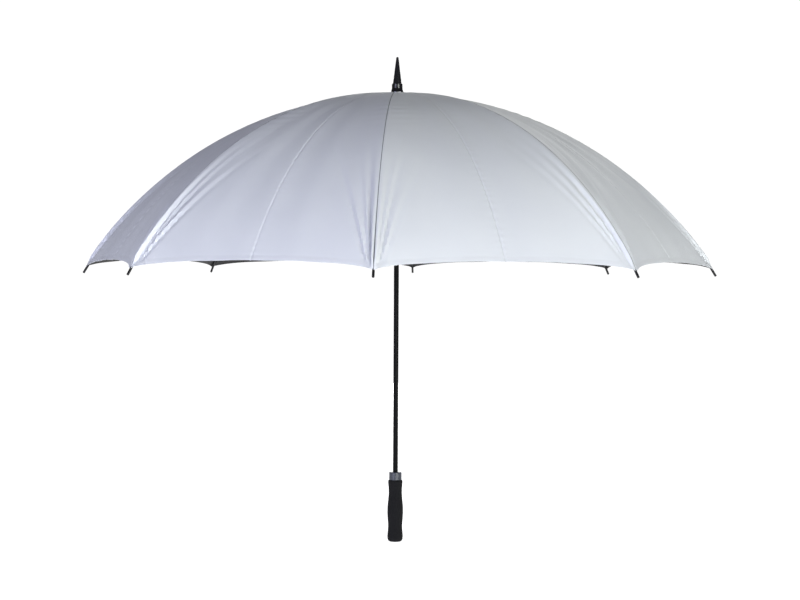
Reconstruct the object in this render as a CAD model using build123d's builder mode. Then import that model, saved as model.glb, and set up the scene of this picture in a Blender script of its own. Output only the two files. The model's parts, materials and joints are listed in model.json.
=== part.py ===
from build123d import *
import os
from math import atan2, cos, degrees, radians, sin, tan

# Stick umbrella, open. The origin is the centre of the handle's end face, +Z runs up the shaft,
# and the first rib points along -Y. All lengths are in millimetres.

# ---- Driving dimensions -------------------------------------------------------------------------
RIB_COUNT = 8
FIRST_RIB_AZIMUTH = -90
RIB_STEP = 360 / RIB_COUNT

# The open ribs are arcs about one centre on the shaft's axis. Places along a rib are arc lengths
# from the shaft's axis, measured on the rib's centreline.
ARC_CENTRE_Z = 158
RIB_ARC_RADIUS = 760
RIB_RADIUS = 1.75
KNEE_ARC = 350
HEM_ARC = 762
RIB_END_ARC = 774
TIP_END_ARC = 782

# Shaft and handle
SHAFT_RADIUS = 5.2
SHAFT_BORE_RADIUS = 4.4
SHAFT_BOTTOM_Z = 12
SHAFT_TOP_Z = 940
CORE_RADIUS = 9
CORE_BOTTOM_Z = 6
COLLAR_RADIUS = 13
COLLAR_BOTTOM_Z = 127.5
COLLAR_TOP_Z = 143.5
COLLAR_ROUNDING = 1.6
GRIP_END_RADIUS = 11
GRIP_TOP_Z = 127
GRIP_BOTTOM_BULGE = (16.2, 9)
GRIP_LOWER_WAIST = (14.3, 32)
GRIP_PALM_BULGE = (16.5, 62)
GRIP_UPPER_WAIST = (13.2, 99)
GRIP_TOP_BULGE = (15.2, 121)
GRIP_TOP_RADIUS = 15
GRIP_END_DIRECTION = (1, 0.15)
GRIP_TOP_DIRECTION = (-0.5, 1)
GRIP_CLEARANCE = 0.05
PRESS_CLEARANCE = 0.02

# Crown: the notch the ribs hinge in, and its wire
HINGE_RADIUS = 10.5
NOTCH_RADIUS = 13
NOTCH_BOTTOM_Z = 911
NOTCH_TOP_Z = 919.5
SLOT_FLOOR_RADIUS = 7.2
SLOT_END_RADIUS = 14
RIB_SLOT_WIDTH = 4.1
WIRE_RADIUS = 0.6
WIRE_CLEARANCE = 0.05
EYE_RADIUS = 1.9
EYE_WIDTH = 3
EYE_HOLE_RADIUS = 0.95

# Knee: a clip on the inner rib holds the outer rib and the stretcher on two pins
KNEE_DROP = 1.5
PIN_SPACING = 5
LUG_RADIUS = 2.2
LUG_WIDTH = 2.4
CLIP_WIDTH = 6.4
CLIP_GAP = 2.9
CLIP_LENGTH = 8.4
WEB_LENGTH = 5.4
PIN_RADIUS = 0.7
PIN_HOLE_RADIUS = 0.78
ROD_START = 3.4
ROD_OVERLAP = 1
NECK_LENGTH = 6
NECK_HEIGHT = 2.8

# Rib tips
TIP_RADIUS = 2.4
TIP_ROUNDING = 0.9
TIP_BORE_CLEARANCE = 0.08
TIP_BORE_DEPTH_SPARE = 0.5

# Runner
RUNNER_RING_Z = 632
RUNNER_RING_RADIUS = 10
RUNNER_HEAD_RADIUS = 12
RUNNER_HEAD_BELOW = 6
RUNNER_HEAD_ABOVE = 4
RUNNER_LENGTH = 49
RUNNER_RADIUS = 8
RUNNER_BORE_RADIUS = 5.5
STRETCHER_SLOT_FLOOR = 8.4
STRETCHER_SLOT_WIDTH = 3.8
STRETCHER_RADIUS = 1.5
OPEN_PIVOT_GAP = 1.5

# Ferrule
ROSETTE_RADIUS = 19
ROSETTE_BOTTOM_Z = 921.7
ROSETTE_THICKNESS = 0.9
CAP_FLARE_RADIUS = 13.2
CAP_FLARE_RIM = 1.4
CAP_FLARE_HEIGHT = 9
CAP_RADIUS = 11.2
CAP_SHOULDER = 2
CAP_TOP_Z = 942
SPIKE_BASE_RADIUS = 9
SPIKE_TIP_RADIUS = 2.3
SPIKE_ROUNDING = 1.6
SPIKE_TOP_Z = 996
SPIGOT_RADIUS = 4.3
SPIGOT_LENGTH = 16

# Cover
COVER_RADIUS = 763.2
COVER_THICKNESS = 0.8
COVER_INNER_ARC = 14
SEAM_GAP = 0.4
SCALLOP_RISE = 14
GORE_REACH = 900

# Catches: wedges in slots of the shaft
CATCH_AZIMUTH = 90
CATCH_LENGTH = 21
CATCH_WIDTH = 2.2
CATCH_SLOT_WIDTH = 3
CATCH_SLOT_MARGIN = 1.2
CATCH_OUT_RADIUS = 7.6
CATCH_ROOT_RADIUS = 3.8
CATCH_BACK_RADIUS = 1.2
CATCH_LEDGE = 2
TOP_CATCH_LEDGE_Z = 582
BOTTOM_CATCH_LEDGE_Z = 206

# ---- Derived places and helpers -----------------------------------------------------------------
HINGE_Z = ARC_CENTRE_Z + (RIB_ARC_RADIUS**2 - HINGE_RADIUS**2) ** 0.5
KNEE_RADIUS = RIB_ARC_RADIUS - KNEE_DROP
STRETCHER_PIVOT_RADIUS = KNEE_RADIUS - PIN_SPACING


def arc_angle(arc):
    """Angle in degrees from the shaft's axis at an arc length along a rib."""
    return degrees(arc / RIB_ARC_RADIUS)


def on_arc(arc, radius=RIB_ARC_RADIUS):
    """Place in a rib's own plane, as (distance from the axis, height)."""
    angle = radians(arc_angle(arc))
    return (radius * sin(angle), ARC_CENTRE_Z + radius * cos(angle))


def radial_plane(azimuth):
    """Upright plane through the shaft's axis: its x points outward at the azimuth, its y upward."""
    turn = radians(azimuth)
    return Plane(origin=(0, 0, 0), x_dir=(cos(turn), sin(turn), 0), z_dir=(sin(turn), -cos(turn), 0))


def finish(shape, name):
    """Name a finished piece and write it."""
    shape.label = name
    export_step(shape, f"parts/{name}.step")


os.makedirs("parts", exist_ok=True)
azimuths = [FIRST_RIB_AZIMUTH + RIB_STEP * index for index in range(RIB_COUNT)]

# ---- Shaft --------------------------------------------------------------------------------------
top_slot_z = TOP_CATCH_LEDGE_Z - CATCH_LENGTH / 2
bottom_slot_z = BOTTOM_CATCH_LEDGE_Z + CATCH_LENGTH / 2
with BuildPart() as shaft_tube:
    with BuildSketch(Plane.XY.offset(SHAFT_BOTTOM_Z)):
        Circle(SHAFT_RADIUS)
        Circle(SHAFT_BORE_RADIUS, mode=Mode.SUBTRACT)
    extrude(amount=SHAFT_TOP_Z - SHAFT_BOTTOM_Z)
    with BuildSketch(radial_plane(CATCH_AZIMUTH).offset(-CATCH_SLOT_WIDTH / 2)):
        with Locations((SHAFT_RADIUS, top_slot_z), (SHAFT_RADIUS, bottom_slot_z)):
            Rectangle(SHAFT_RADIUS, CATCH_LENGTH + 2 * CATCH_SLOT_MARGIN)
    extrude(amount=CATCH_SLOT_WIDTH, mode=Mode.SUBTRACT)
finish(shaft_tube.part, "shaft_tube")

# ---- Handle -------------------------------------------------------------------------------------
with BuildPart() as handle_core:
    with BuildSketch(Plane.XY.offset(CORE_BOTTOM_Z)):
        Circle(CORE_RADIUS)
    extrude(amount=COLLAR_BOTTOM_Z - CORE_BOTTOM_Z)
    with BuildSketch(Plane.XY.offset(COLLAR_BOTTOM_Z)):
        Circle(COLLAR_RADIUS)
    extrude(amount=COLLAR_TOP_Z - COLLAR_BOTTOM_Z)
    fillet(handle_core.edges().filter_by(GeomType.CIRCLE).sort_by(Axis.Z)[-1], COLLAR_ROUNDING)
    with BuildSketch(Plane.XY.offset(SHAFT_BOTTOM_Z)):
        Circle(SHAFT_RADIUS + PRESS_CLEARANCE)
    extrude(amount=COLLAR_TOP_Z - SHAFT_BOTTOM_Z, mode=Mode.SUBTRACT)
finish(handle_core.part, "handle_core")

# The foam grip swells in the palm and at its end.
grip_bore = CORE_RADIUS + GRIP_CLEARANCE
grip_floor = CORE_BOTTOM_Z - GRIP_CLEARANCE
with BuildPart() as handle_grip:
    with BuildSketch(Plane.XZ):
        with BuildLine():
            outline = Spline(
                (GRIP_END_RADIUS, 0),
                GRIP_BOTTOM_BULGE,
                GRIP_LOWER_WAIST,
                GRIP_PALM_BULGE,
                GRIP_UPPER_WAIST,
                GRIP_TOP_BULGE,
                (GRIP_TOP_RADIUS, GRIP_TOP_Z),
                tangents=(GRIP_END_DIRECTION, GRIP_TOP_DIRECTION),
            )
            Polyline(
                outline @ 1,
                (grip_bore, GRIP_TOP_Z),
                (grip_bore, grip_floor),
                (0, grip_floor),
                (0, 0),
                outline @ 0,
            )
        make_face()
    revolve(axis=Axis.Z)
finish(handle_grip.part, "handle_grip")

# ---- Crown --------------------------------------------------------------------------------------
with BuildPart() as crown_notch:
    with BuildSketch(Plane.XY.offset(NOTCH_BOTTOM_Z)):
        Circle(NOTCH_RADIUS)
        Circle(SHAFT_RADIUS + PRESS_CLEARANCE, mode=Mode.SUBTRACT)
        notch_slots = PolarLocations(
            (SLOT_FLOOR_RADIUS + SLOT_END_RADIUS) / 2, RIB_COUNT, start_angle=FIRST_RIB_AZIMUTH
        )
        with notch_slots:
            Rectangle(SLOT_END_RADIUS - SLOT_FLOOR_RADIUS, RIB_SLOT_WIDTH, mode=Mode.SUBTRACT)
    extrude(amount=NOTCH_TOP_Z - NOTCH_BOTTOM_Z)
    with BuildSketch(Plane.XZ):
        with Locations((HINGE_RADIUS, HINGE_Z)):
            Circle(WIRE_RADIUS + WIRE_CLEARANCE)
    revolve(axis=Axis.Z, mode=Mode.SUBTRACT)
finish(crown_notch.part, "crown_notch")

with BuildPart() as crown_ring_wire:
    with BuildSketch(Plane.XZ):
        with Locations((HINGE_RADIUS, HINGE_Z)):
            Circle(WIRE_RADIUS)
    revolve(axis=Axis.Z)
finish(crown_ring_wire.part, "crown_ring_wire")

with BuildPart() as canopy_rosette:
    with BuildSketch(Plane.XY.offset(ROSETTE_BOTTOM_Z)):
        Circle(ROSETTE_RADIUS)
        Circle(SHAFT_RADIUS + PRESS_CLEARANCE, mode=Mode.SUBTRACT)
    extrude(amount=ROSETTE_THICKNESS)
finish(canopy_rosette.part, "canopy_rosette")

# ---- Ferrule ------------------------------------------------------------------------------------
cap_bottom_z = ROSETTE_BOTTOM_Z + ROSETTE_THICKNESS
with BuildPart() as ferrule_cap:
    with BuildSketch(Plane.XZ):
        with BuildLine():
            Polyline(
                (SHAFT_RADIUS + PRESS_CLEARANCE, cap_bottom_z),
                (CAP_FLARE_RADIUS, cap_bottom_z),
                (CAP_FLARE_RADIUS, cap_bottom_z + CAP_FLARE_RIM),
                (CAP_RADIUS, cap_bottom_z + CAP_FLARE_HEIGHT),
                (CAP_RADIUS, CAP_TOP_Z - CAP_SHOULDER),
                (CAP_RADIUS - CAP_SHOULDER, CAP_TOP_Z),
                (SHAFT_RADIUS + PRESS_CLEARANCE, CAP_TOP_Z),
                close=True,
            )
        make_face()
    revolve(axis=Axis.Z)
finish(ferrule_cap.part, "ferrule_cap")

with BuildPart() as ferrule_spike:
    with BuildSketch(Plane.XZ):
        with BuildLine():
            Polyline(
                (0, SPIKE_TOP_Z),
                (0, CAP_TOP_Z - SPIGOT_LENGTH),
                (SPIGOT_RADIUS, CAP_TOP_Z - SPIGOT_LENGTH),
                (SPIGOT_RADIUS, CAP_TOP_Z),
                (SPIKE_BASE_RADIUS, CAP_TOP_Z),
                (SPIKE_TIP_RADIUS, SPIKE_TOP_Z),
                close=True,
            )
        make_face()
    revolve(axis=Axis.Z)
    fillet(ferrule_spike.edges().filter_by(GeomType.CIRCLE).sort_by(Axis.Z)[-1], SPIKE_ROUNDING)
finish(ferrule_spike.part, "ferrule_spike")

# ---- Ribs, tips and stretchers ------------------------------------------------------------------
knee = on_arc(KNEE_ARC, KNEE_RADIUS)
stretcher_pivot = on_arc(KNEE_ARC, STRETCHER_PIVOT_RADIUS)
knee_turn = arc_angle(KNEE_ARC)
stretcher_way = (Vector(RUNNER_RING_RADIUS, RUNNER_RING_Z) - Vector(*stretcher_pivot)).normalized()
stretcher_slope = degrees(atan2(stretcher_way.Y, stretcher_way.X))
for index, azimuth in enumerate(azimuths, start=1):
    upright = radial_plane(azimuth)

    # Inner length: crown eye, rod, and the clip's two cheeks with their pins
    with BuildPart() as rib_inner:
        first_arc = HINGE_RADIUS + ROD_OVERLAP
        last_arc = KNEE_ARC - CLIP_LENGTH + 2 * ROD_OVERLAP
        with BuildLine(upright) as inner_path:
            CenterArc(
                (0, ARC_CENTRE_Z),
                RIB_ARC_RADIUS,
                90 - arc_angle(first_arc),
                arc_angle(first_arc) - arc_angle(last_arc),
            )
        with BuildSketch(Plane(origin=inner_path.line @ 0, z_dir=inner_path.line % 0)):
            Circle(RIB_RADIUS)
        sweep(path=inner_path.line)
        with BuildSketch(upright):
            with Locations((HINGE_RADIUS, HINGE_Z)):
                Circle(EYE_RADIUS)
        extrude(amount=EYE_WIDTH / 2, both=True)
        with BuildSketch(upright):
            with Locations((HINGE_RADIUS, HINGE_Z)):
                Circle(EYE_HOLE_RADIUS)
        extrude(amount=EYE_WIDTH, both=True, mode=Mode.SUBTRACT)
        for side in (-1, 1):
            cheek_middle = side * (CLIP_WIDTH + CLIP_GAP) / 4
            with BuildSketch(upright.offset(cheek_middle)):
                with Locations(on_arc(KNEE_ARC, KNEE_RADIUS - PIN_SPACING / 2)):
                    SlotCenterToCenter(PIN_SPACING, 2 * LUG_RADIUS, rotation=90 - knee_turn)
                with Locations(on_arc(KNEE_ARC - CLIP_LENGTH / 2, KNEE_RADIUS)):
                    Rectangle(CLIP_LENGTH, 2 * LUG_RADIUS, rotation=-knee_turn)
            extrude(amount=(CLIP_WIDTH - CLIP_GAP) / 4, both=True)
        with BuildSketch(upright):
            with Locations(on_arc(KNEE_ARC - CLIP_LENGTH + WEB_LENGTH / 2, KNEE_RADIUS)):
                Rectangle(WEB_LENGTH, 2 * LUG_RADIUS, rotation=-knee_turn)
            with Locations(knee, stretcher_pivot):
                Circle(PIN_RADIUS)
        extrude(amount=CLIP_WIDTH / 2, both=True)
    finish(rib_inner.part, f"rib_inner_{index}")

    # Outer length: knee eye, neck and rod
    with BuildPart() as rib_outer:
        first_arc = KNEE_ARC + ROD_START
        with BuildLine(upright) as outer_path:
            CenterArc(
                (0, ARC_CENTRE_Z),
                RIB_ARC_RADIUS,
                90 - arc_angle(first_arc),
                arc_angle(first_arc) - arc_angle(RIB_END_ARC),
            )
        with BuildSketch(Plane(origin=outer_path.line @ 0, z_dir=outer_path.line % 0)):
            Circle(RIB_RADIUS)
        sweep(path=outer_path.line)
        with BuildSketch(upright):
            with Locations(knee):
                Circle(LUG_RADIUS)
            with Locations(on_arc(KNEE_ARC + NECK_LENGTH / 2, KNEE_RADIUS + KNEE_DROP / 2)):
                Rectangle(NECK_LENGTH, NECK_HEIGHT, rotation=-knee_turn)
            with Locations(knee):
                Circle(PIN_HOLE_RADIUS, mode=Mode.SUBTRACT)
        extrude(amount=LUG_WIDTH / 2, both=True)
    finish(rib_outer.part, f"rib_outer_{index}")

    # Tip: a closed cap over the rib's end
    with BuildPart() as rib_tip:
        hem_point = upright.from_local_coords(on_arc(HEM_ARC))
        end_point = upright.from_local_coords(on_arc(TIP_END_ARC))
        along = end_point - hem_point
        with BuildSketch(Plane(origin=hem_point, z_dir=along)):
            Circle(TIP_RADIUS)
        extrude(amount=along.length)
        fillet(rib_tip.edges().filter_by(GeomType.CIRCLE), TIP_ROUNDING)
        with BuildSketch(Plane(origin=hem_point, z_dir=along)):
            Circle(RIB_RADIUS + TIP_BORE_CLEARANCE)
        extrude(amount=RIB_END_ARC - HEM_ARC + TIP_BORE_DEPTH_SPARE, mode=Mode.SUBTRACT)
    finish(rib_tip.part, f"rib_tip_{index}")

    # Stretcher: clip eye, neck and rod. Its lower end stops short of the runner's wire.
    with BuildPart() as stretcher:
        eye_point = upright.from_local_coords(stretcher_pivot)
        ring_point = upright.from_local_coords((RUNNER_RING_RADIUS, RUNNER_RING_Z))
        run = ring_point - eye_point
        with BuildSketch(Plane(origin=eye_point + run.normalized() * ROD_START, z_dir=run)):
            Circle(STRETCHER_RADIUS)
        extrude(amount=run.length - ROD_START - OPEN_PIVOT_GAP)
        with BuildSketch(upright):
            with Locations(stretcher_pivot):
                Circle(LUG_RADIUS)
            with Locations(Vector(*stretcher_pivot) + stretcher_way * (NECK_LENGTH / 2)):
                Rectangle(NECK_LENGTH, NECK_HEIGHT, rotation=stretcher_slope)
            with Locations(stretcher_pivot):
                Circle(PIN_HOLE_RADIUS, mode=Mode.SUBTRACT)
        extrude(amount=LUG_WIDTH / 2, both=True)
    finish(stretcher.part, f"stretcher_{index}")

# ---- Runner -------------------------------------------------------------------------------------
head_bottom_z = RUNNER_RING_Z - RUNNER_HEAD_BELOW
head_top_z = RUNNER_RING_Z + RUNNER_HEAD_ABOVE
with BuildPart() as runner_sleeve:
    with BuildSketch(Plane.XY.offset(head_top_z - RUNNER_LENGTH)):
        Circle(RUNNER_RADIUS)
    extrude(amount=RUNNER_LENGTH)
    with BuildSketch(Plane.XY.offset(head_bottom_z)):
        Circle(RUNNER_HEAD_RADIUS)
        head_slots = PolarLocations(
            (STRETCHER_SLOT_FLOOR + SLOT_END_RADIUS) / 2, RIB_COUNT, start_angle=FIRST_RIB_AZIMUTH
        )
        with head_slots:
            Rectangle(SLOT_END_RADIUS - STRETCHER_SLOT_FLOOR, STRETCHER_SLOT_WIDTH, mode=Mode.SUBTRACT)
    extrude(amount=head_top_z - head_bottom_z)
    with BuildSketch(Plane.XY.offset(head_top_z - RUNNER_LENGTH)):
        Circle(RUNNER_BORE_RADIUS)
    extrude(amount=RUNNER_LENGTH, mode=Mode.SUBTRACT)
    with BuildSketch(Plane.XZ):
        with Locations((RUNNER_RING_RADIUS, RUNNER_RING_Z)):
            Circle(WIRE_RADIUS + WIRE_CLEARANCE)
    revolve(axis=Axis.Z, mode=Mode.SUBTRACT)
finish(runner_sleeve.part, "runner_sleeve")

with BuildPart() as runner_ring_wire:
    with BuildSketch(Plane.XZ):
        with Locations((RUNNER_RING_RADIUS, RUNNER_RING_Z)):
            Circle(WIRE_RADIUS)
    revolve(axis=Axis.Z)
finish(runner_ring_wire.part, "runner_ring_wire")

# ---- Catches: each rises to a flat ledge that the runner rests against ---------------------------
catches = {
    "top_catch": (TOP_CATCH_LEDGE_Z, -1),
    "bottom_catch": (BOTTOM_CATCH_LEDGE_Z, 1),
}
for name, (ledge_z, root_way) in catches.items():
    root_z = ledge_z + root_way * CATCH_LENGTH
    with BuildPart() as catch:
        with BuildSketch(radial_plane(CATCH_AZIMUTH)):
            with BuildLine():
                Polyline(
                    (CATCH_BACK_RADIUS, ledge_z),
                    (CATCH_OUT_RADIUS, ledge_z),
                    (CATCH_OUT_RADIUS, ledge_z + root_way * CATCH_LEDGE),
                    (CATCH_ROOT_RADIUS, root_z),
                    (CATCH_BACK_RADIUS, root_z),
                    close=True,
                )
            make_face()
        extrude(amount=CATCH_WIDTH / 2, both=True)
    finish(catch.part, name)

# ---- Cover --------------------------------------------------------------------------------------
# Each gore is straight from rib to rib, so its section at mid-gore is flatter than the ribs' arc.
# A gore is cut in two at the knee.
half_step = radians(RIB_STEP / 2)
mid_gore_scale = cos(half_step)
hem_angle = arc_angle(HEM_ARC)
hem_z = ARC_CENTRE_Z + COVER_RADIUS * cos(radians(hem_angle))
hem_half_width = COVER_RADIUS * sin(radians(hem_angle)) * sin(half_step)
edge_inset = SEAM_GAP / sin(half_step)
under_radius = COVER_RADIUS - COVER_THICKNESS
lengths = {
    "panel_inner": (arc_angle(COVER_INNER_ARC), arc_angle(KNEE_ARC - SEAM_GAP)),
    "panel_outer": (arc_angle(KNEE_ARC + SEAM_GAP), hem_angle),
}
for index, azimuth in enumerate(azimuths, start=1):
    gore_azimuth = azimuth + RIB_STEP / 2
    upright = radial_plane(gore_azimuth)
    level = Plane(origin=(0, 0, 0), x_dir=upright.x_dir, z_dir=(0, 0, 1))
    facing = Plane(origin=(0, 0, 0), x_dir=upright.z_dir, z_dir=-upright.x_dir)
    for name, (start_turn, end_turn) in lengths.items():
        with BuildPart() as panel:
            with BuildSketch(upright):
                with BuildLine():
                    top_edge = EllipticalCenterArc(
                        (0, ARC_CENTRE_Z),
                        COVER_RADIUS * mid_gore_scale,
                        COVER_RADIUS,
                        90 - end_turn,
                        arc_size=end_turn - start_turn,
                    )
                    under_edge = EllipticalCenterArc(
                        (0, ARC_CENTRE_Z),
                        under_radius * mid_gore_scale,
                        under_radius,
                        90 - end_turn,
                        arc_size=end_turn - start_turn,
                    )
                    Line(top_edge @ 0, under_edge @ 0)
                    Line(top_edge @ 1, under_edge @ 1)
                make_face()
            extrude(amount=hem_half_width, both=True)
            with BuildSketch(level):
                with BuildLine():
                    Polyline(
                        (edge_inset, 0),
                        (GORE_REACH, (GORE_REACH - edge_inset) * tan(half_step)),
                        (GORE_REACH, -(GORE_REACH - edge_inset) * tan(half_step)),
                        close=True,
                    )
                make_face()
            extrude(amount=SPIKE_TOP_Z, mode=Mode.INTERSECT)
            if name == "panel_outer":
                with BuildSketch(facing):
                    with BuildLine():
                        hem_curve = ThreePointArc(
                            (-hem_half_width, hem_z),
                            (0, hem_z + SCALLOP_RISE),
                            (hem_half_width, hem_z),
                        )
                        Polyline(
                            hem_curve @ 0,
                            (-hem_half_width, hem_z - SCALLOP_RISE),
                            (hem_half_width, hem_z - SCALLOP_RISE),
                            hem_curve @ 1,
                        )
                    make_face()
                extrude(amount=GORE_REACH, both=True, mode=Mode.SUBTRACT)
        finish(panel.part, f"{name}_{index}")
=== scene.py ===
"""Looks of a large stick umbrella: silver cover with a black lining, slim shaft and foam grip."""

import json
import logging
import math
import random
from dataclasses import dataclass, field
from enum import Enum

import bpy
from mathutils import Matrix, Vector
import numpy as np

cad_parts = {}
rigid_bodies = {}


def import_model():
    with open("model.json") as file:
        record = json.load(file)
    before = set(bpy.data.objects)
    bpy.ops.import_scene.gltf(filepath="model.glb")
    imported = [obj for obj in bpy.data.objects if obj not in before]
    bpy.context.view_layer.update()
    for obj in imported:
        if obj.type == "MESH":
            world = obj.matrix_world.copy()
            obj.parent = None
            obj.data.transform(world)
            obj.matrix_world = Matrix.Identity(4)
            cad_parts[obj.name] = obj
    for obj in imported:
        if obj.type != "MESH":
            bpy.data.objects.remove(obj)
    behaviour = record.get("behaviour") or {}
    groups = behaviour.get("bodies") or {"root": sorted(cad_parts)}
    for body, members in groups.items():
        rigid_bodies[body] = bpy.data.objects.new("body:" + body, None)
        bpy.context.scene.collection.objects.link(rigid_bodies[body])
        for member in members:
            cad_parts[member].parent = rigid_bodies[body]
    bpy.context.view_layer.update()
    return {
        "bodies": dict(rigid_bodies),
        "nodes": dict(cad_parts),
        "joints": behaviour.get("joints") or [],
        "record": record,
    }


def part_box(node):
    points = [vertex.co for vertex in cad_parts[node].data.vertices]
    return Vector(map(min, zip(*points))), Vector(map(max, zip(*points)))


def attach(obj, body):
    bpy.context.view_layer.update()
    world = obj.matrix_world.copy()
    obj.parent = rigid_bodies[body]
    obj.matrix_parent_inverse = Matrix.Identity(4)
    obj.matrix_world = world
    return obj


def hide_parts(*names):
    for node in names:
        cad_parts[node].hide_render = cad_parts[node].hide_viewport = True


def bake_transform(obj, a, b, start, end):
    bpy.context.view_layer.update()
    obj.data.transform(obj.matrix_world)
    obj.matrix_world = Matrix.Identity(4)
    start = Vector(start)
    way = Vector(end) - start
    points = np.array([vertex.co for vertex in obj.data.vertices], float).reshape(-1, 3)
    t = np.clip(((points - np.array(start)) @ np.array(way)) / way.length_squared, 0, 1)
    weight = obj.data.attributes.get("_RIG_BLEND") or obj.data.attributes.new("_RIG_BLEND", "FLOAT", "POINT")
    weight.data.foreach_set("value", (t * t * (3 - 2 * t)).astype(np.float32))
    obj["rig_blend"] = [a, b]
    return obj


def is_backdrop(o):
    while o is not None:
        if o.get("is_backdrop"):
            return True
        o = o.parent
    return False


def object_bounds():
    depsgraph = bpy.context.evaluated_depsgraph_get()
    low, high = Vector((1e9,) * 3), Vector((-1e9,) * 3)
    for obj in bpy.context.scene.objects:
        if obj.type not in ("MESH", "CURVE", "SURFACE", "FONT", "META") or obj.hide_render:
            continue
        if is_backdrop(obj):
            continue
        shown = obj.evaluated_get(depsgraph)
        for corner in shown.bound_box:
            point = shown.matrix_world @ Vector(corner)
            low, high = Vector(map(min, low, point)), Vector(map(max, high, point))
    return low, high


log = logging.getLogger("umbrella")
MM = 0.001
FULL_TURN = 2 * math.pi
SEED = 7

# A Wave texture at scale 1 repeats after this length.
WAVE_PERIOD = math.pi / 10

# Places of a Mix node's sockets in colour mode, because its other modes share their names.
MIX_FACTOR = 0
MIX_FIRST = 6
MIX_SECOND = 7
MIX_RESULT = 2


class Length(Enum):
    """The two lengths of a rib and of the cover over it, cut at the knee."""

    INNER = "inner"
    OUTER = "outer"


# Columns across and rows down of each panel's grid.
GRIDS = {Length.INNER: (72, 96), Length.OUTER: (112, 128)}


# ---- Node and mesh helpers ----------------------------------------------------------------------


def linear(colour: str) -> tuple[float, float, float, float]:
    """Turn an sRGB hex colour to linear.

    Args:
        colour: Six hex digits after a hash sign.

    Returns:
        Linear red, green, blue and an alpha of one.
    """
    parts = [int(colour[i : i + 2], 16) / 255 for i in (1, 3, 5)]
    lin = [c / 12.92 if c <= 0.04045 else ((c + 0.055) / 1.055) ** 2.4 for c in parts]
    return (lin[0], lin[1], lin[2], 1.0)


def add_node(tree: bpy.types.NodeTree, kind: str, settings: dict, links: dict) -> bpy.types.Node:
    """Add a shader node with its settings and links.

    Args:
        tree: The material's node tree.
        kind: The node's type name.
        settings: Node properties by name, and input values by socket name or place.
        links: Input socket name or place to the output socket that feeds it.

    Returns:
        The new node.
    """
    made = tree.nodes.new(kind)
    for name, value in settings.items():
        if isinstance(name, int) or name in made.inputs:
            made.inputs[name].default_value = value
        else:
            setattr(made, name, value)
    for name, source in links.items():
        tree.links.new(source, made.inputs[name])
    return made


def new_material(name: str) -> tuple[bpy.types.Material, bpy.types.NodeTree, bpy.types.Node]:
    """Make an empty Principled material.

    Args:
        name: The material's name.

    Returns:
        The material, its node tree and its shader.
    """
    made = bpy.data.materials.new(name)
    made.use_nodes = True
    return made, made.node_tree, made.node_tree.nodes["Principled BSDF"]


def deselect() -> None:
    """Deselect every object."""
    if bpy.context.object and bpy.context.object.mode != "OBJECT":
        bpy.ops.object.mode_set(mode="OBJECT")
    bpy.ops.object.select_all(action="DESELECT")


def pick(piece: bpy.types.Object) -> None:
    """Select one piece alone, and make it the active one.

    Args:
        piece: The piece.
    """
    deselect()
    piece.select_set(True)
    bpy.context.view_layer.objects.active = piece


def apply_modifiers(piece: bpy.types.Object) -> None:
    """Apply all modifiers of a piece, in order.

    Args:
        piece: The piece.
    """
    pick(piece)
    for modifier in list(piece.modifiers):
        bpy.ops.object.modifier_apply(modifier=modifier.name)


def smooth(piece: bpy.types.Object, degrees: float) -> None:
    """Shade a piece smooth, with edges sharper than an angle kept sharp."""
    pick(piece)
    bpy.ops.object.shade_smooth_by_angle(angle=math.radians(degrees))


def settle(piece: bpy.types.Object) -> None:
    """Put a piece's place into its mesh, so that its object sits at the origin."""
    pick(piece)
    bpy.ops.object.transform_apply(location=True, rotation=True, scale=True)


def turned(name: str, outline: list[tuple[float, float]], segments: int) -> bpy.types.Object:
    """Build a closed turned form about the shaft's axis by extruding and scaling a disc.

    Args:
        name: The piece's name.
        outline: Pairs of radius and height, from the bottom up.
        segments: Vertices around.

    Returns:
        The new piece.
    """
    deselect()
    radius, height = outline[0]
    bpy.ops.mesh.primitive_circle_add(
        vertices=segments, radius=radius, fill_type="NGON", location=(0, 0, height)
    )
    piece = bpy.context.object
    piece.name = name
    bpy.ops.object.mode_set(mode="EDIT")
    bpy.ops.mesh.select_all(action="SELECT")
    for next_radius, next_height in outline[1:]:
        bpy.ops.mesh.extrude_region_move(
            TRANSFORM_OT_translate={"value": (0, 0, next_height - height)}
        )
        share = next_radius / radius
        bpy.ops.transform.resize(value=(share, share, 1), center_override=(0, 0, next_height))
        radius, height = next_radius, next_height
    bpy.ops.mesh.select_all(action="SELECT")
    bpy.ops.mesh.normals_make_consistent(inside=False)
    bpy.ops.object.mode_set(mode="OBJECT")
    settle(piece)
    return piece


# ---- Finishes -----------------------------------------------------------------------------------


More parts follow.
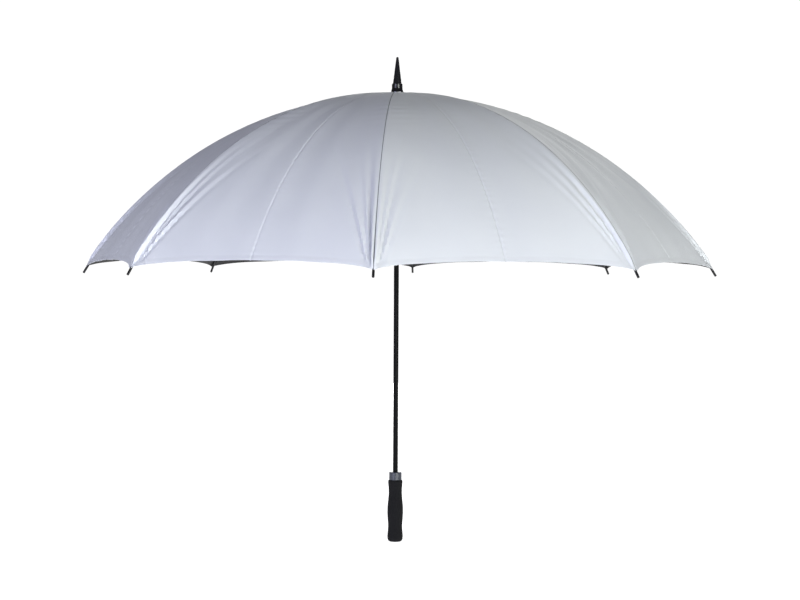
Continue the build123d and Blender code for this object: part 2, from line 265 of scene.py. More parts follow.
@dataclass(frozen=True)
class CoatedCloth:
    """Polyester pongee with a metal-pigment coat: a soft, broad gleam over a fine plain weave.

    The real threads lie 0.3 mm apart, too fine to show, so the weave is drawn coarser.
    """

    name: str
    colour: str
    shaded: str
    # Painted shade, laid along the groove of the seam over each rib.
    seam_shade_colour: str
    metallic: float
    roughness: float
    weave_height: float
    thread_mm: float = 1.3
    thread_wander: float = 0.4
    weave_depth_mm: float = 0.12
    seam_mm: float = 1.1
    seam_core: float = 0.3
    mottle_mm: float = 160
    crinkle_mm: float = 9
    crinkle_height: float = 0.25
    crinkle_depth_mm: float = 0.35
    sheen: float = 0.06
    smoother: float = 0.05
    rougher: float = 0.07

    def build(self) -> bpy.types.Material:
        """Make the material."""
        made, tree, shader = new_material(self.name)
        shader.inputs["Metallic"].default_value = self.metallic
        shader.inputs["Sheen Weight"].default_value = self.sheen
        self.colour_cloth(tree, shader)
        self.weave_cloth(tree, shader)
        return made

    def colour_cloth(self, tree: bpy.types.NodeTree, shader: bpy.types.Node) -> None:
        """Mottle the coat's colour and roughness, and paint shade along the seam groove over each rib.

        Args:
            tree: The material's node tree.
            shader: Its shader.
        """
        where = add_node(tree, "ShaderNodeTexCoord", {}, {}).outputs["Object"]
        mottle = add_node(
            tree,
            "ShaderNodeTexNoise",
            {"Scale": 1 / (self.mottle_mm * MM), "Detail": 3.0},
            {"Vector": where},
        ).outputs["Fac"]
        cloth = add_node(
            tree,
            "ShaderNodeMix",
            {"data_type": "RGBA", MIX_FIRST: linear(self.shaded), MIX_SECOND: linear(self.colour)},
            {MIX_FACTOR: mottle},
        ).outputs[MIX_RESULT]
        # Painted shade in the seam's groove: the cloth turns to the dark seam shade within seam_mm of each
        # rib.
        seam = add_node(tree, "ShaderNodeAttribute", {"attribute_name": "seam"}, {}).outputs["Fac"]
        beside = add_node(
            tree,
            "ShaderNodeMapRange",
            {"From Min": self.seam_core * self.seam_mm * MM, "From Max": self.seam_mm * MM},
            {"Value": seam},
        ).outputs["Result"]
        seam_shaded = add_node(
            tree,
            "ShaderNodeMix",
            {"data_type": "RGBA", MIX_FIRST: linear(self.seam_shade_colour)},
            {MIX_FACTOR: beside, MIX_SECOND: cloth},
        ).outputs[MIX_RESULT]
        tree.links.new(seam_shaded, shader.inputs["Base Color"])
        rough = add_node(
            tree,
            "ShaderNodeMapRange",
            {"To Min": self.roughness - self.smoother, "To Max": self.roughness + self.rougher},
            {"Value": mottle},
        ).outputs["Result"]
        tree.links.new(rough, shader.inputs["Roughness"])

    def weave_cloth(self, tree: bpy.types.NodeTree, shader: bpy.types.Node) -> None:
        """Raise the threads, and the coat's fine crinkle over them.

        Args:
            tree: The material's node tree.
            shader: Its shader.
        """
        uv = add_node(tree, "ShaderNodeUVMap", {"uv_map": "UVMap"}, {}).outputs["UV"]
        thread_scale = WAVE_PERIOD / (self.thread_mm * MM)
        weft, warp = [
            add_node(
                tree,
                "ShaderNodeTexWave",
                {"bands_direction": way, "Scale": thread_scale, "Distortion": self.thread_wander},
                {"Vector": uv},
            ).outputs["Fac"]
            for way in ("X", "Y")
        ]
        weave = add_node(tree, "ShaderNodeMath", {"operation": "MULTIPLY"}, {0: weft, 1: warp})
        crinkle = add_node(
            tree,
            "ShaderNodeTexNoise",
            {"Scale": 1 / (self.crinkle_mm * MM), "Detail": 4.0},
            {"Vector": uv},
        )
        fine = add_node(
            tree,
            "ShaderNodeBump",
            {"Strength": self.weave_height, "Distance": self.weave_depth_mm * MM},
            {"Height": weave.outputs[0]},
        )
        both = add_node(
            tree,
            "ShaderNodeBump",
            {"Strength": self.crinkle_height, "Distance": self.crinkle_depth_mm * MM},
            {"Height": crinkle.outputs["Fac"], "Normal": fine.outputs["Normal"]},
        )
        tree.links.new(both.outputs["Normal"], shader.inputs["Normal"])


@dataclass(frozen=True)
class PlainFinish:
    """A moulded, enamelled or drawn finish: one colour broken by faint mottling and a fine grain."""

    name: str
    colour: str
    worn: str
    roughness: float
    metallic: float = 0.0
    ior: float = 1.5
    grain_mm: float = 1.2
    grain_height: float = 0.1
    grain_depth_mm: float = 0.2
    mottle_mm: float = 25
    stretch: float = 1.0
    coat: float = 0.0
    specular: float = 0.5
    smoother: float = 0.06
    rougher: float = 0.08

    def build(self) -> bpy.types.Material:
        """Make the material."""
        made, tree, shader = new_material(self.name)
        shader.inputs["Metallic"].default_value = self.metallic
        shader.inputs["IOR"].default_value = self.ior
        shader.inputs["Coat Weight"].default_value = self.coat
        shader.inputs["Specular IOR Level"].default_value = self.specular
        where = add_node(tree, "ShaderNodeTexCoord", {}, {}).outputs["Object"]
        laid = add_node(
            tree, "ShaderNodeMapping", {"Scale": (1, 1, self.stretch)}, {"Vector": where}
        ).outputs["Vector"]
        grain = add_node(
            tree,
            "ShaderNodeTexNoise",
            {"Scale": 1 / (self.grain_mm * MM), "Detail": 5.0},
            {"Vector": laid},
        ).outputs["Fac"]
        mottle = add_node(
            tree,
            "ShaderNodeTexNoise",
            {"Scale": 1 / (self.mottle_mm * MM), "Detail": 3.0},
            {"Vector": where},
        ).outputs["Fac"]
        colour = add_node(
            tree,
            "ShaderNodeMix",
            {"data_type": "RGBA", MIX_FIRST: linear(self.colour), MIX_SECOND: linear(self.worn)},
            {MIX_FACTOR: mottle},
        ).outputs[MIX_RESULT]
        tree.links.new(colour, shader.inputs["Base Color"])
        rough = add_node(
            tree,
            "ShaderNodeMapRange",
            {"To Min": self.roughness - self.smoother, "To Max": self.roughness + self.rougher},
            {"Value": grain},
        ).outputs["Result"]
        tree.links.new(rough, shader.inputs["Roughness"])
        bump = add_node(
            tree,
            "ShaderNodeBump",
            {"Strength": self.grain_height, "Distance": self.grain_depth_mm * MM},
            {"Height": grain},
        ).outputs["Normal"]
        tree.links.new(bump, shader.inputs["Normal"])
        return made


@dataclass(frozen=True)
class FoamFinish:
    """Closed-cell EVA foam, ground to shape: very matt, with open cells of about a millimetre."""

    name: str = "eva_foam"
    colour: str = "#131316"
    # Painted shade: the cells' hollows are darkened to this.
    pit_shade_colour: str = "#08080A"
    roughness: float = 0.86
    specular: float = 0.15
    sheen: float = 0.03
    cell_mm: float = 0.9
    cell_height: float = 0.5
    cell_depth_mm: float = 0.3

    def build(self) -> bpy.types.Material:
        """Make the material."""
        made, tree, shader = new_material(self.name)
        shader.inputs["Roughness"].default_value = self.roughness
        shader.inputs["Specular IOR Level"].default_value = self.specular
        shader.inputs["Sheen Weight"].default_value = self.sheen
        where = add_node(tree, "ShaderNodeTexCoord", {}, {}).outputs["Object"]
        cells = add_node(
            tree, "ShaderNodeTexVoronoi", {"Scale": 1 / (self.cell_mm * MM)}, {"Vector": where}
        ).outputs["Distance"]
        # Painted shade in the cells' hollows, darkest at each cell's centre where the bump sinks most.
        colour = add_node(
            tree,
            "ShaderNodeMix",
            {"data_type": "RGBA", MIX_FIRST: linear(self.pit_shade_colour), MIX_SECOND: linear(self.colour)},
            {MIX_FACTOR: cells},
        ).outputs[MIX_RESULT]
        tree.links.new(colour, shader.inputs["Base Color"])
        bump = add_node(
            tree,
            "ShaderNodeBump",
            {"Strength": self.cell_height, "Distance": self.cell_depth_mm * MM},
            {"Height": cells},
        ).outputs["Normal"]
        tree.links.new(bump, shader.inputs["Normal"])
        return made


# The coat scatters light broadly, so the silver side is pale with a soft gleam and no mirror.
SILVER_CLOTH = CoatedCloth(
    # The fourth colour is painted shade for the seam grooves over the ribs.
    "silver_coated_pongee", "#D3D6DA", "#C6C9D0", "#34363D", metallic=0.12, roughness=0.55, weave_height=0.5
)
# The lining's black coat takes up nearly all the light, with a dull sheen at a slant.
BLACK_CLOTH = CoatedCloth(
    # The fourth colour is painted shade for the seam grooves over the ribs.
    "black_coated_pongee", "#0E0E11", "#09090B", "#050506", metallic=0.0, roughness=0.6, weave_height=0.6
)
NODE_FINISHES = {
    # Stoved enamel on a drawn tube: deep black with a weak, soft highlight down its length.
    "shaft_enamel": PlainFinish("satin_black_enamel", "#050506", "#09090A", 0.4, specular=0.05),
    # Drawn out in a die, so its glass shows as fine streaks along the rod under a smooth gloss.
    "rib_fibreglass": PlainFinish(
        "black_fibreglass", "#0C0C0E", "#17171A", 0.3, ior=1.55, grain_mm=0.6, stretch=0.2
    ),
    # A thin dipped enamel over pressed steel, with a little clear gloss.
    "stretcher_steel": PlainFinish("black_enamelled_steel", "#0E0E10", "#18181B", 0.35, coat=0.15),
    # Moulded in a matt tool: grey-black and dull.
    "tip_plastic": PlainFinish("moulded_nylon_tips", "#0B0B0C", "#121214", 0.5, ior=1.53, specular=0.25),
    # The same plastic, from a smoother tool.
    "crown_plastic": PlainFinish("moulded_nylon", "#101013", "#1A1A1E", 0.45, ior=1.53),
    # Moulded in a polished tool: narrow, clear highlights.
    "ferrule_plastic": PlainFinish("glossy_abs", "#0A0A0D", "#121216", 0.2, ior=1.54, specular=0.4),
    # A blue-grey moulding, less dark than the grip beside it.
    "collar_plastic": PlainFinish("moulded_collar_abs", "#20242E", "#2B303C", 0.42, ior=1.54),
    # Bright where it was drawn, a little dulled by handling.
    "wire_steel": PlainFinish("drawn_steel_wire", "#8C8C90", "#77777C", 0.3, metallic=1.0),
    # Pressed from bright sheet, so its edge catches the light.
    "rosette_metal": PlainFinish("bright_aluminium", "#D8D9DE", "#C4C6CC", 0.24, metallic=1.0),
}
# Spun polyester thread: dull, and a little lighter where its fibres stand up.
TIE_THREAD = PlainFinish("black_thread", "#0B0B0D", "#1A1A1E", 0.7, grain_mm=0.4)


# ---- Cover --------------------------------------------------------------------------------------


@dataclass(frozen=True)
class Varied:
    """A factor that differs from gore to gore: its least value, and what a draw of one adds to it."""

    least: float
    more: float

    def at(self, draw: float) -> float:
        """Give the factor for a draw from 0 to 1."""
        return self.least + self.more * draw


@dataclass(frozen=True)
class GoreMood:
    """One gore's own random numbers, from 0 to 1, so that no two gores crease alike.

    The slopes and strengths are those of the folds at its first and its second rib.
    """

    slopes: tuple[list[float], list[float]]
    strengths: tuple[list[float], list[float]]
    phase: float
    level: float
    rate: float

    @classmethod
    def drawn(cls, draws: random.Random) -> "GoreMood":
        """Draw one gore's numbers.

        Args:
            draws: The cover's seeded source of random numbers.

        Returns:
            The gore's numbers.
        """
        numbers = [draws.random() for _ in range(15)]
        return cls(
            slopes=(numbers[0:3], numbers[3:6]),
            strengths=(numbers[6:9], numbers[9:12]),
            phase=numbers[12],
            level=numbers[13],
            rate=numbers[14],
        )


@dataclass(frozen=True)
class GorePlace:
    """Where a point of a gore is. Lengths are in metres.

    Across is the share of the way from one rib to the next, turn the angle from the shaft's axis,
    run the length down the arc, side the distance from mid-gore and beside that from the near rib.
    """

    across: float
    turn: float
    run: float
    side: float
    beside: float


@dataclass
class Cover:
    """The eight gores, each in two panels that meet at the knee. Lengths are in metres."""

    arc_radius: float
    centre_z: float
    hem_turn: float
    knee_turn: float
    crown_turn: float
    azimuths: list[float]
    step: float
    crown_hole: float = 12 * MM
    lift: float = 0.3 * MM
    cloth: float = 0.45 * MM
    sharp_degrees: float = 40
    # Outline: the hem rises between the ribs and is drawn down to them at its corners.
    scallop: float = 12 * MM
    corner_drop: float = 8 * MM
    corner_share: float = 0.05
    # Lap of the outer panel under the inner one's edge.
    lap: float = 22 * MM
    lap_drop: float = 0.75 * MM
    lap_rows: float = 1 / 16
    # Slack between the ribs, and the seams over them.
    slack: float = 2.2 * MM
    seam_depth: float = 0.8 * MM
    seam_width: float = 1.6 * MM
    # Folds that fan up from each tip: how each leans away from the rib, and its share of the height.
    folds: tuple[tuple[float, float], ...] = ((0.03, 1.0), (0.1, 0.8), (0.2, 0.5))
    fold_height: float = 7.0 * MM
    fold_reach: float = 190 * MM
    fold_start: float = 18 * MM
    fold_gap: float = 4 * MM
    fold_shift: float = 0.6
    fold_width: float = 2.4 * MM
    fold_widening: float = 0.016
    fold_slope: Varied = Varied(0.75, 0.5)
    fold_strength: Varied = Varied(0.5, 0.7)
    ridge_share: float = 0.7
    trough_side: float = 1.7
    # Stitched seam down mid-gore, which puckers along its lower part.
    middle_seam: float = 0.9 * MM
    middle_width: float = 1.5 * MM
    pucker: float = 0.55 * MM
    pucker_pitch: float = 17 * MM
    pucker_width: float = 6 * MM
    pucker_from: float = 0.35
    pucker_over: float = 0.3
    pucker_wander: float = 2.6
    pucker_wander_run: float = 23 * MM
    # Level waves in the slack near the crown.
    ripple: float = 0.4 * MM
    ripple_pitch: float = 27 * MM
    ripple_place: Varied = Varied(0.25, 0.06)
    ripple_spread: float = 0.07
    ripple_width: float = 55 * MM
    ripple_lean: float = 9
    ripple_lull: float = 7
    # Long lines of tension down the gore, and the gather under the ferrule.
    tension: float = 0.7 * MM
    tension_lines: Varied = Varied(3, 2)
    tension_lean: float = 2
    gather: float = 1.2 * MM
    gather_reach: float = 65 * MM
    gather_waves: int = 4
    # Hem, turned under and stitched.
    hem_width: float = 9 * MM
    hem_step: float = 0.35 * MM
    stitch_depth: float = 0.4 * MM
    stitch_width: float = 0.9 * MM
    # How far a draw of one shifts a wave.
    phase_shift: float = 6
    area_steps: int = 200
    draws: random.Random = field(default_factory=lambda: random.Random(SEED))

    @classmethod
    def from_frame(cls, frame: dict) -> "Cover":
        """Work out the cover's arc and its ribs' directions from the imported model.


        Returns:
            The cover, with its sizes.
        """
        joints = {joint["name"]: joint for joint in frame["joints"]}
        count = sum(name.startswith("knee_") for name in joints)
        places = [joints[f"knee_{n}"]["pos_m"] for n in range(1, count + 1)]
        azimuths = [math.atan2(place[1], place[0]) for place in places]
        crown_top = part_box("panel_inner_1")[1][2]
        low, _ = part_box("panel_outer_1")
        reach, drop = -low[1], crown_top - low[2]
        radius = (reach**2 + drop**2) / (2 * drop)
        centre_z = crown_top - radius
        knee_reach = math.hypot(places[0][0], places[0][1])
        return cls(
            arc_radius=radius,
            centre_z=centre_z,
            hem_turn=math.asin(reach / radius),
            knee_turn=math.atan2(knee_reach, places[0][2] - centre_z),
            crown_turn=cls.crown_hole / radius,
            azimuths=azimuths,
            step=2 * math.pi / count,
        )

    def arc_point(self, radius: float, azimuth: float, turn: float) -> Vector:
        """Place on an arc about the cover's centre.

        Args:
            radius: The arc's radius.
            azimuth: The arc's direction.
            turn: Angle from the shaft's axis.

        Returns:
            The place, in the frame.
        """
        reach = radius * math.sin(turn)
        return Vector(
            (reach * math.cos(azimuth), reach * math.sin(azimuth), self.centre_z + radius * math.cos(turn))
        )

    def rib_point(self, azimuth: float, turn: float) -> Vector:
        """Place on the cover's arc over a rib."""
        return self.arc_point(self.arc_radius + self.lift, azimuth, turn)

    def end_turn(self, across: float) -> float:
        """Angle of the hem.

        Args:
            across: Share of the way across the gore.

        Returns:
            The angle from the shaft's axis.
        """
        rise = self.scallop * 4 * across * (1 - across)
        drop = self.corner_drop * math.exp(-min(across, 1 - across) / self.corner_share)
        return self.hem_turn - (rise - drop) / self.arc_radius

    def start_turn(self, length: Length) -> float:
        """Angle where a panel starts. The outer one starts under the inner one's edge.

        Args:
            length: Which side of the knee the panel covers.

        Returns:
            The angle from the shaft's axis.
        """
        if length is Length.INNER:
            return self.crown_turn
        return self.knee_turn - self.lap / self.arc_radius

    def row_turn(self, length: Length, across: float, down: float) -> float:
        """Angle of a grid row.

        Args:
            length: Which side of the knee the panel covers.
            across: Share of the way across the gore.
            down: Share of the way down the grid. The outer panel's lap takes the first lap_rows of
                it, so that one row lies on the knee.

        Returns:
            The angle from the shaft's axis.
        """
        first = self.start_turn(length)
        if length is Length.INNER:
            return first + down * (self.knee_turn - first)
        if down < self.lap_rows:
            return first + down / self.lap_rows * (self.knee_turn - first)
        below = (down - self.lap_rows) / (1 - self.lap_rows)
        return self.knee_turn + below * (self.end_turn(across) - self.knee_turn)

    @staticmethod
    def spaced(share: float) -> float:
        """Space a grid's columns closely at the ribs and at mid-gore, and widely between."""
        side = math.floor(2 * share) / 2 if share < 1 else 0.5
        return side + 0.25 * (1 - math.cos(2 * math.pi * (share - side)))

    def relief(self, place: GorePlace, mood: GoreMood) -> float:
        """Height of the folds, seams and puckers above the taut gore.

        Args:
            place: Where on the gore.
            mood: The gore's own random numbers.

        Returns:
            The height, outward.
        """
        height = 0.0
        for rise in (
            *self.slack_and_seam(place),
            *self.tip_folds(place, mood),
            *self.middle_puckers(place, mood),
            *self.crown_waves(place, mood),
            *self.tension_and_gather(place, mood),
            *self.hem(place),
        ):
            height += rise
        return height

    def slack_and_seam(self, place: GorePlace) -> list[float]:
        """Sag of the gore between its ribs, and the groove of its seam over each rib."""
        sag = -self.slack * 4 * place.across * (1 - place.across) * self.widening(place)
        return [sag, -self.seam_depth * math.exp(-((place.beside / self.seam_width) ** 2))]

    def widening(self, place: GorePlace) -> float:
        """Share of a wave's full height, which it reaches at the knee."""
        return min(1.0, place.turn / self.knee_turn)

    def tip_folds(self, place: GorePlace, mood: GoreMood) -> list[float]:
        """Heights of the three sharp folds that fan up from each tip.

        Args:
            place: Where on the gore.
            mood: The gore's own random numbers.

        Returns:
            One height for each fold, of its ridge and the trough beside it.
        """
        near = 0 if place.side < 0 else 1
        from_tip = self.arc_radius * (self.hem_turn - place.turn)
        fade = min(1.0, from_tip / self.fold_start) * math.exp(-((from_tip / self.fold_reach) ** 2))
        width = self.fold_width + self.fold_widening * from_tip
        rises = []
        for number, (slope, share) in enumerate(self.folds):
            lean = from_tip * slope * self.fold_slope.at(mood.slopes[near][number])
            line = self.fold_gap * (number + self.fold_shift) + lean
            strength = share * self.fold_strength.at(mood.strengths[near][number])
            ridge = math.exp(-(((place.beside - line) / width) ** 2))
            trough = math.exp(-(((place.beside - line - self.trough_side * width) / width) ** 2))
            rises.append(self.fold_height * fade * strength * (self.ridge_share * ridge - trough))
        return rises

    def middle_puckers(self, place: GorePlace, mood: GoreMood) -> list[float]:
        """Heights of the seam down mid-gore, and of the puckers it draws along its lower part.

        Args:
            place: Where on the gore.
            mood: The gore's own random numbers.

        Returns:
            The two heights.
        """
        lower = (place.turn / self.hem_turn - self.pucker_from) / self.pucker_over
        wander = self.pucker_wander * math.sin(place.run / self.pucker_wander_run)
        wave = math.sin(FULL_TURN * place.run / self.pucker_pitch + wander + self.phase_shift * mood.phase)
        narrow = math.exp(-abs(place.side) / self.pucker_width)
        return [
            -self.middle_seam * math.exp(-((place.side / self.middle_width) ** 2)),
            self.pucker * max(0.0, min(1.0, lower)) * wave * narrow,
        ]

    def crown_waves(self, place: GorePlace, mood: GoreMood) -> list[float]:
        """Height of the faint level waves in the slack near the crown, beside the ribs.

        Args:
            place: Where on the gore.
            mood: The gore's own random numbers.

        Returns:
            The height.
        """
        band = math.exp(-(((place.run - self.ripple_place.at(mood.level)) / self.ripple_spread) ** 2))
        along = FULL_TURN * place.run / self.ripple_pitch + self.ripple_lean * place.across
        lull = math.sin(self.ripple_lull * place.across + mood.phase)
        wave = math.sin(along + self.phase_shift * mood.rate) * lull
        return [self.ripple * band * wave * math.exp(-place.beside / self.ripple_width)]

    def tension_and_gather(self, place: GorePlace, mood: GoreMood) -> list[float]:
        """Heights of the long tension lines and of the short gather under the ferrule.

        Args:
            place: Where on the gore.
            mood: The gore's own random numbers.

        Returns:
            The two heights.
        """
        across = place.across
        count = self.tension_lines.at(mood.rate)
        lean = self.tension_lean * place.turn
        lines = math.sin(FULL_TURN * count * across + self.phase_shift * mood.level + lean)
        creases = math.sin(FULL_TURN * self.gather_waves * across) ** 3
        return [
            self.tension * lines * 4 * across * (1 - across) * self.widening(place),
            self.gather * math.exp(-place.run / self.gather_reach) * creases,
        ]

    def hem(self, place: GorePlace) -> list[float]:
        """Heights of the turned-under hem, a cloth's thickness proud, and of its stitch line.

        Args:
            place: Where on the gore.

        Returns:
            The two heights.
        """
        to_hem = self.arc_radius * (self.end_turn(place.across) - place.turn)
        off_stitch = (to_hem - self.hem_width) / self.stitch_width
        return [
            self.hem_step if to_hem < self.hem_width else 0.0,
            -self.stitch_depth * math.exp(-(off_stitch**2)),
        ]

    def panel(self, number: int, length: Length, mood: GoreMood) -> bpy.types.Object:
        """Build one panel of one gore.

        Args:
            number: The gore's number, that of the rib it starts at.
            length: Which side of the knee it covers.
            mood: The gore's own random numbers.

        Returns:
            The finished panel.
        """
        columns, rows = GRIDS[length]
        deselect()
        bpy.ops.mesh.primitive_grid_add(x_subdivisions=columns, y_subdivisions=rows, size=2)
        piece = bpy.context.object
        piece.name = f"cover_{length.value}_{number}"
        self.drape(piece.data, number, length, mood)
        piece.data.materials.append(self.silver)
        piece.data.materials.append(self.black)
        wall = piece.modifiers.new("wall", "SOLIDIFY")
        wall.thickness = self.cloth
        wall.offset = -1
        wall.material_offset = 1
        apply_modifiers(piece)
        smooth(piece, self.sharp_degrees)
        return piece

    def drape(self, mesh: bpy.types.Mesh, number: int, length: Length, mood: GoreMood) -> None:
        """Lay a flat grid over its gore, with its cut as UV map and its distances as attributes.

        Args:
            mesh: The grid, 2 m square.
            number: The gore's number.
            length: Which side of the knee it covers.
            mood: The gore's own random numbers.
        """
        start = self.azimuths[number - 1]
        middle = start + self.step / 2
        out = Vector((math.cos(middle), math.sin(middle), 0))
        flatten = math.cos(self.step / 2)
        across_list = []
        seam_list = []
        places = []
        flats = []
        for vertex in mesh.vertices:
            across = self.spaced((vertex.co.x + 1) / 2)
            turn = self.row_turn(length, across, (1 - vertex.co.y) / 2)
            one = self.rib_point(start, turn)
            two = self.rib_point(start + self.step, turn)
            half = (two - one).length / 2
            normal = (out * math.sin(turn) + Vector((0, 0, flatten * math.cos(turn)))).normalized()
            run = self.arc_radius * turn
            side = (across - 0.5) * 2 * half
            height = self.relief(GorePlace(across, turn, run, side, half - abs(side)), mood)
            if length is Length.OUTER:
                height -= self.lap_drop * max(0.0, self.arc_radius * (self.knee_turn - turn) / self.lap)
            places.append(one.lerp(two, across) + normal * height)
            flats.append((2 * half * (across - 0.5), run))
            across_list.append(across)
            seam_list.append(half - abs(across - 0.5) * 2 * half)
        for vertex, place in zip(mesh.vertices, places):
            vertex.co = place
        uv = mesh.uv_layers["UVMap"]
        for loop in mesh.loops:
            uv.data[loop.index].uv = flats[loop.vertex_index]
        for name, values in (("across", across_list), ("seam", seam_list)):
            mesh.attributes.new(name, "FLOAT", "POINT").data.foreach_set("value", values)

    def flat_size(self, length: Length) -> tuple[tuple[float, float], float]:
        """Flat size and area of a panel's cut.

        Args:
            length: Which side of the knee it covers.

        Returns:
            Width and length of the cut, and its area.
        """
        first = self.start_turn(length)
        last = self.knee_turn if length is Length.INNER else self.hem_turn
        area = 0.0
        for i in range(self.area_steps):
            turn = first + (last - first) * (i + 0.5) / self.area_steps
            width = 2 * self.arc_radius * math.sin(turn) * math.sin(self.step / 2)
            area += width * self.arc_radius * (last - first) / self.area_steps * self.stretch(turn)
        width = 2 * self.arc_radius * math.sin(last) * math.sin(self.step / 2)
        if length is Length.OUTER:
            area -= 2 / 3 * self.scallop * width
        return (width, self.arc_radius * (last - first)), area

    def stretch(self, turn: float) -> float:
        """Length of the mid-gore line for each length of rib, at an angle from the axis."""
        return math.hypot(math.cos(self.step / 2) * math.cos(turn), math.sin(turn))

    def build(self) -> None:
        """Build and attach all panels."""
        self.silver = SILVER_CLOTH.build()
        self.black = BLACK_CLOTH.build()
        for number in range(1, len(self.azimuths) + 1):
            mood = GoreMood.drawn(self.draws)
            for length in Length:
                piece = self.panel(number, length, mood)
                flat, area = self.flat_size(length)
                rib = f"rib_{length.value}_{number}"
                twin = f"cover_{length.value}_{number}"
                turn = self.knee_turn if length is Length.INNER else self.hem_turn
                start = self.azimuths[number - 1]
                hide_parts(f"panel_{length.value}_{number}")
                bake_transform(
                    piece,
                    rib,
                    twin,
                    start=self.rib_point(start, turn),
                    end=self.rib_point(start + self.step, turn),
                )
                self.weigh(piece)
                log.info("%s: gore panel between ribs", piece.name)

    def weigh(self, piece: bpy.types.Object) -> None:
        """Share a panel between its two ribs by the way across the gore.

        The gore narrows to the crown, so a share by distance would leave its edges off their ribs.

        Args:
            piece: The panel, already blended.
        """
        mesh = piece.data
        shares = [0.0] * len(mesh.vertices)
        mesh.attributes["across"].data.foreach_get("value", shares)
        mesh.attributes["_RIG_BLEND"].data.foreach_set("value", shares)


# ---- Frame and handle ---------------------------------------------------------------------------


@dataclass
class Handle:
    """The foam grip, waisted twice."""

    segments: int = 72
    sharp_degrees: float = 50
    outline_mm: tuple[tuple[float, float], ...] = (
        (9.0, 0.0),
        (11.2, 0.1),
        (14.0, 1.6),
        (15.6, 5.0),
        (16.1, 10.0),
        (15.6, 18.0),
        (14.7, 27.0),
        (14.7, 36.0),
        (15.7, 48.0),
        (16.3, 60.0),
        (15.9, 74.0),
        (14.5, 88.0),
        (13.6, 100.0),
        (13.9, 110.0),
        (14.7, 119.0),
        (15.0, 124.0),
        (14.6, 126.4),
        (13.6, 127.0),
        (9.2, 127.0),
    )

    def build(self) -> None:
        """Build the grip over the handle's core."""
        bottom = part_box("handle_grip")[0][2]
        outline = [(radius * MM, bottom + height * MM) for radius, height in self.outline_mm]
        piece = turned("foam_grip", outline, self.segments)
        piece.data.materials.append(FoamFinish().build())
        smooth(piece, self.sharp_degrees)
        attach(piece, "frame")
        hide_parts("handle_grip")
        log.info("%s: ground foam", piece.name)


@dataclass
class RibTies:
    """Thread loops that hold the cover's seams to the ribs."""

    cover: Cover
    loop_radius: float = 2.15 * MM
    thread_radius: float = 0.32 * MM
    depth: float = 3.2 * MM
    sides: int = 20
    thread_sides: int = 6
    sharp_degrees: float = 60
    shares: tuple[float, ...] = (0.35, 0.8)

    def build(self) -> None:
        """Wind each loop round its rib, a little under the cover."""
        thread = TIE_THREAD.build()
        for number, azimuth in enumerate(self.cover.azimuths, start=1):
            for length in Length:
                for place, share in enumerate(self.shares, start=1):
                    piece = self.loop(azimuth, self.turn_of(length, share))
                    piece.name = f"rib_tie_{length.value}_{number}_{place}"
                    piece.data.materials.append(thread)
                    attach(piece, f"rib_{length.value}_{number}")
        log.info("rib ties: %d thread loops", 2 * len(self.shares) * len(self.cover.azimuths))

    def turn_of(self, length: Length, share: float) -> float:
        """Place of a tie along a rib.

        Args:
            length: Which length of the rib.
            share: Share of the way along that length.

        Returns:
            The angle from the shaft's axis.
        """
        knee = self.cover.knee_turn
        first, last = (0.0, knee) if length is Length.INNER else (knee, self.cover.hem_turn)
        return first + share * (last - first)

    def loop(self, azimuth: float, turn: float) -> bpy.types.Object:
        """Make one loop of two turns of thread.

        Args:
            azimuth: The rib's direction.
            turn: Angle from the shaft's axis.

        Returns:
            The loop, in place.
        """
        deselect()
        along = Vector(
            (math.cos(turn) * math.cos(azimuth), math.cos(turn) * math.sin(azimuth), -math.sin(turn))
        )
        bpy.ops.mesh.primitive_torus_add(
            major_segments=self.sides,
            minor_segments=self.thread_sides,
            major_radius=self.loop_radius,
            minor_radius=self.thread_radius,
            location=self.cover.arc_point(self.cover.arc_radius - self.depth, azimuth, turn),
            rotation=along.to_track_quat("Z", "Y").to_euler(),
        )
        piece = bpy.context.object
        copy = piece.modifiers.new("second_turn", "ARRAY")
        copy.use_relative_offset = False
        copy.use_constant_offset = True
        copy.constant_offset_displace = (0, 0, 2 * self.thread_radius)
        apply_modifiers(piece)
        settle(piece)
        smooth(piece, self.sharp_degrees)
        return piece


def dress_frame(frame: dict) -> None:
    """Give every shown node of the frame its finish.
    """
    made = {slot: finish.build() for slot, finish in NODE_FINISHES.items()}
    for entry in frame["record"]["subparts"]:
        finish = made.get(entry["material_slot"])
        if finish is None:
            continue
        node = frame["nodes"][entry["node"]]
        for slot in node.material_slots:
            slot.material = finish
        log.info("%s: %s", entry["node"], finish.name)


# ---- Studio -------------------------------------------------------------------------------------


@dataclass(frozen=True)
class SoftLight:
    """One square soft light, aimed at the middle of the cover."""

    name: str
    place: tuple[float, float, float]
    side: float
    watts: float
    colour: str
    aim_z: float = 0.65

    def build(self) -> None:
        """Set the light up."""
        data = bpy.data.lights.new(self.name, "AREA")
        data.size = self.side
        data.energy = self.watts
        data.color = linear(self.colour)[:3]
        lamp = bpy.data.objects.new(self.name, data)
        bpy.context.scene.collection.objects.link(lamp)
        aim = Vector((0, 0, self.aim_z)) - Vector(self.place)
        lamp.location = self.place
        lamp.rotation_euler = aim.to_track_quat("-Z", "Y").to_euler()


LIGHTS = (
    SoftLight("key", (2.5, -4.0, 0.25), 2.2, 310, "#F8FBF6"),
    SoftLight("fill", (-2.4, -3.6, 0.25), 2.2, 175, "#D6D8F6"),
    SoftLight("top", (0.3, 0.4, 4.0), 3.2, 2, "#FFFFFF"),
    SoftLight("back", (0.4, 4.6, 1.0), 3.0, 150, "#FFFFFF"),
    SoftLight("left_edge", (-2.8, 2.4, 1.2), 1.4, 0.8, "#FFFFFF"),
    SoftLight("right_edge", (2.8, 2.4, 1.2), 1.4, 1.5, "#FFFFFF"),
)


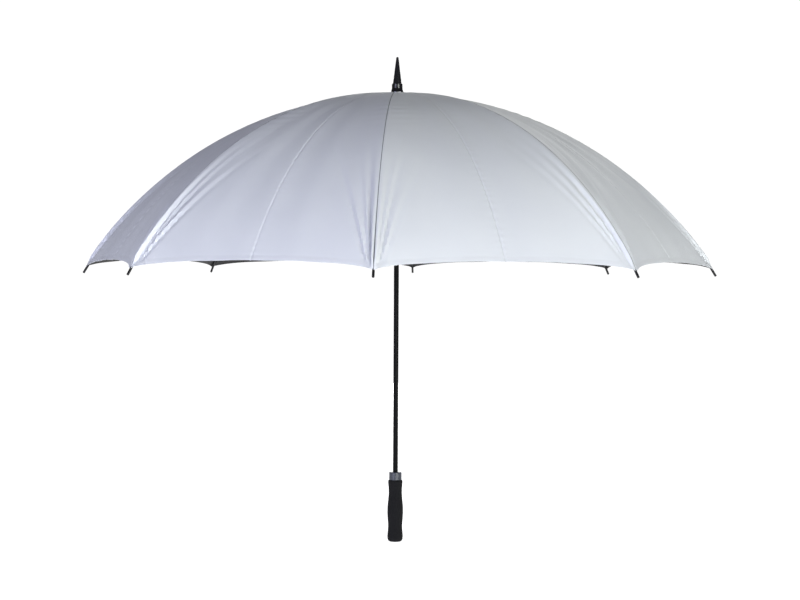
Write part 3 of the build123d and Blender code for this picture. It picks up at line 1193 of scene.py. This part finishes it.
@dataclass
class Studio:
    """Pale floor, white surroundings, soft lights and the camera. Lengths are in metres."""

    # The camera's angles are in degrees.
    lens: float = 80.0
    distance: float = 3.655
    height: float = 0.577
    side: float = 0.0077
    azimuth: float = 3.34
    tilt: float = -1.243
    roll: float = 0.29
    floor_side: float = 60.0
    floor_colour: str = "#F6F6F7"
    floor_roughness: float = 0.9
    floor_glow: float = 1.0
    glow_colour: str = "#FFFFFF"
    backdrop: float = 1.05
    ambient: float = 0.13
    ambient_colour: str = "#F4F5FA"

    def build(self) -> None:
        """Build the floor, the surroundings, the lights and the camera."""
        bpy.context.scene.view_settings.view_transform = "Standard"
        self.floor()
        self.surroundings()
        for light in LIGHTS:
            light.build()
        self.camera()

    def surroundings(self) -> None:
        """Make the surroundings white to look at, and dimmer as a light, so that folds show."""
        world = bpy.data.worlds.new("studio")
        bpy.context.scene.world = world
        world.use_nodes = True
        tree = world.node_tree
        glow = tree.nodes["Background"]
        glow.inputs["Color"].default_value = linear(self.ambient_colour)
        glow.inputs["Strength"].default_value = self.ambient
        white = add_node(
            tree,
            "ShaderNodeBackground",
            {"Color": linear(self.glow_colour), "Strength": self.backdrop},
            {},
        )
        seen = add_node(tree, "ShaderNodeLightPath", {}, {}).outputs["Is Camera Ray"]
        mix = add_node(
            tree,
            "ShaderNodeMixShader",
            {},
            {"Fac": seen, 1: glow.outputs[0], 2: white.outputs[0]},
        )
        tree.links.new(mix.outputs[0], tree.nodes["World Output"].inputs["Surface"])

    def floor(self) -> None:
        """Lay a plain pale floor under the handle's end, lit from within as a light table is."""
        deselect()
        bpy.ops.mesh.primitive_plane_add(size=self.floor_side, location=(0, 0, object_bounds()[0][2]))
        piece = bpy.context.object
        piece.name = "studio_floor"
        made, _, shader = new_material("pale_floor")
        shader.inputs["Base Color"].default_value = linear(self.floor_colour)
        shader.inputs["Roughness"].default_value = self.floor_roughness
        shader.inputs["Emission Color"].default_value = linear(self.glow_colour)
        shader.inputs["Emission Strength"].default_value = self.floor_glow
        piece.data.materials.append(made)
        settle(piece)
        piece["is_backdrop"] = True

    def camera(self) -> None:
        """Set up the camera."""
        data = bpy.data.cameras.new("camera")
        data.lens = self.lens
        eye = bpy.data.objects.new("camera", data)
        bpy.context.scene.collection.objects.link(eye)
        eye.matrix_world = (
            Matrix.Rotation(math.radians(self.azimuth), 4, "Z")
            @ Matrix.Translation((self.side, -self.distance, self.height))
            @ Matrix.Rotation(math.radians(90 + self.tilt), 4, "X")
            @ Matrix.Rotation(math.radians(self.roll), 4, "Z")
        )
        bpy.context.scene.camera = eye


def main() -> None:
    """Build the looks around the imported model."""
    logging.basicConfig(level=logging.INFO, format="%(name)s: %(message)s")
    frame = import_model()
    Studio().build()
    dress_frame(frame)
    cover = Cover.from_frame(frame)
    cover.build()
    RibTies(cover).build()
    Handle().build()


if __name__ == "__main__":
    main()
